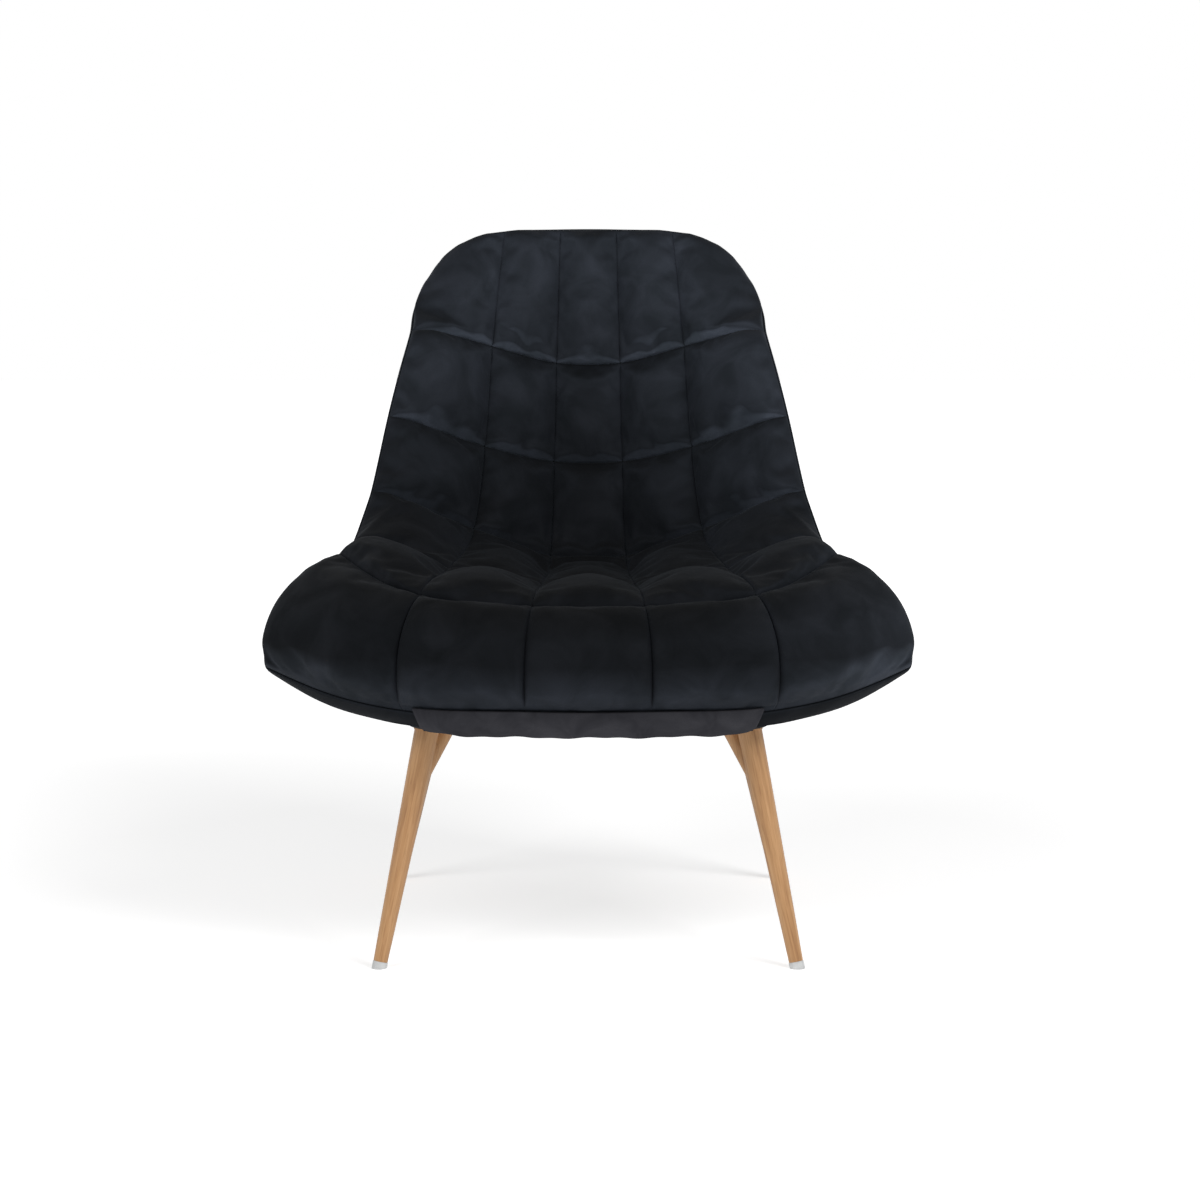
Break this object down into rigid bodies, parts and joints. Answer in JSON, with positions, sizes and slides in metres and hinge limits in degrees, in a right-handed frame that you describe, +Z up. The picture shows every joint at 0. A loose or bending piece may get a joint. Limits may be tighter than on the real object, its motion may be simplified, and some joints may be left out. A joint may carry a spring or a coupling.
{
  "type": "oversized armchair",
  "caption": "Wide lounge armchair: one channel-quilted velvet shell with low upturned wings and a stuffed front roll, on splayed tapered legs.",
  "frame": {"origin": "on the floor under the middle of the chair's bounding box", "axes": "+X to the right seen from the front, -Y the way the chair faces, +Z up"},
  "size_m": [0.7748, 0.7468, 0.8511],
  "materials": {
    "pad_velvet": "black short-pile velvet, sewn in channels over wadding",
    "cover_velvet": "black short-pile velvet, plain",
    "cushion_foam": "open-cell polyurethane foam",
    "moulded_plywood": "moulded beech plywood, raw",
    "board_plywood": "plywood, sanded",
    "dust_cloth": "black spunbond dust cloth",
    "grain_tube": "steel tube with a beech wood-grain transfer, satin",
    "glide_plastic": "pale grey polyethylene",
    "zinc_steel": "zinc-plated steel"
  },
  "bodies": {
    "root": {"head_left_wing": "pad_velvet", "head_left": "pad_velvet", "head_centre": "pad_velvet", "head_right": "pad_velvet", "head_right_wing": "pad_velvet", "upper_back_left_wing": "pad_velvet", "upper_back_left": "pad_velvet", "upper_back_centre": "pad_velvet", "upper_back_right": "pad_velvet", "upper_back_right_wing": "pad_velvet", "lower_back_left_wing": "pad_velvet", "lower_back_left": "pad_velvet", "lower_back_centre": "pad_velvet", "lower_back_right": "pad_velvet", "lower_back_right_wing": "pad_velvet", "seat_rear_left_wing": "pad_velvet", "seat_rear_left": "pad_velvet", "seat_rear_centre": "pad_velvet", "seat_rear_right": "pad_velvet", "seat_rear_right_wing": "pad_velvet", "seat_front_left_wing": "pad_velvet", "seat_front_left": "pad_velvet", "seat_front_centre": "pad_velvet", "seat_front_right": "pad_velvet", "seat_front_right_wing": "pad_velvet", "front_roll_left_wing": "pad_velvet", "front_roll_left": "pad_velvet", "front_roll_centre": "pad_velvet", "front_roll_right": "pad_velvet", "front_roll_right_wing": "pad_velvet", "back_foam": "cushion_foam", "seat_foam": "cushion_foam", "left_wing_foam": "cushion_foam", "right_wing_foam": "cushion_foam", "moulded_shell": "moulded_plywood", "base_board": "board_plywood", "dust_cover": "dust_cloth", "outer_back_cover": "cover_velvet", "outer_seat_cover": "cover_velvet", "front_border": "cover_velvet", "front_left_leg": "grain_tube", "front_right_leg": "grain_tube", "rear_left_leg": "grain_tube", "rear_right_leg": "grain_tube", "front_left_glide": "glide_plastic", "front_right_glide": "glide_plastic", "rear_left_glide": "glide_plastic", "rear_right_glide": "glide_plastic", "leg_bolts": "zinc_steel", "leg_washers": "zinc_steel", "tee_nuts": "zinc_steel", "shell_screws": "zinc_steel"}
  },
  "joints": []
}
